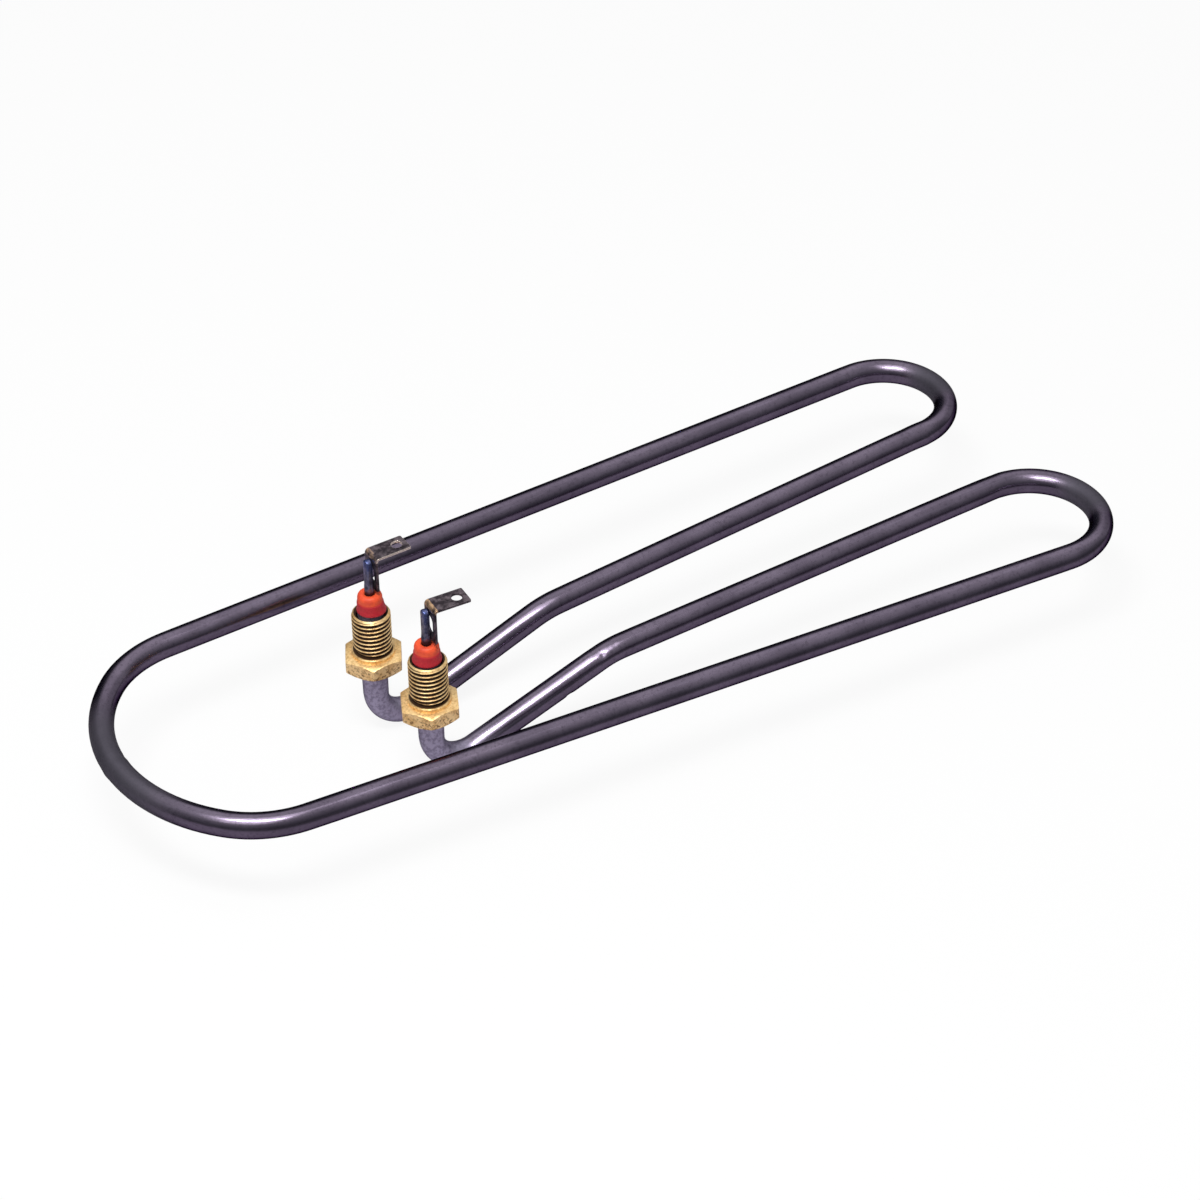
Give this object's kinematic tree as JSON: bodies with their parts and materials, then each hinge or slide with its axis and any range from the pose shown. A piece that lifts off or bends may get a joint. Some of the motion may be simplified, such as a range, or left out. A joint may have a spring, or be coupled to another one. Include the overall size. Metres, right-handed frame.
{
  "type": "tubular heating element",
  "caption": "Metal sheathed heating tube bent into a long double loop, with its ends turned up into threaded brass fittings and L shaped terminal tabs",
  "frame": {"origin": "midway between the two fittings' axes, on the plane of the hexagons' seating faces", "axes": "+X along the loop towards the hairpins, +Y towards the far fitting, +Z out of the fittings' mouths and square to the loop"},
  "size_m": [0.3284, 0.1265, 0.0671],
  "materials": {
    "sheath": "dark oxidised satin steel with bright rubbed streaks",
    "brass": "turned brass, slightly dulled",
    "bead": "red silicone rubber, satin",
    "pin": "steel with a blue heat tint",
    "tab": "grey plated steel with bright cut edges",
    "powder": "pressed magnesia",
    "coil": "drawn resistance wire",
    "plug": "cast silicone"
  },
  "bodies": {
    "root": {"fitting_far": "brass", "fitting_near": "brass", "magnesia_core": "powder", "magnesia_fill": "powder", "moisture_plug_far": "plug", "moisture_plug_near": "plug", "resistance_coil": "coil", "seal_bead_far": "bead", "seal_bead_near": "bead", "sheath_tube": "sheath", "tab_far": "tab", "tab_near": "tab", "terminal_pin_far": "pin", "terminal_pin_near": "pin"}
  },
  "joints": []
}
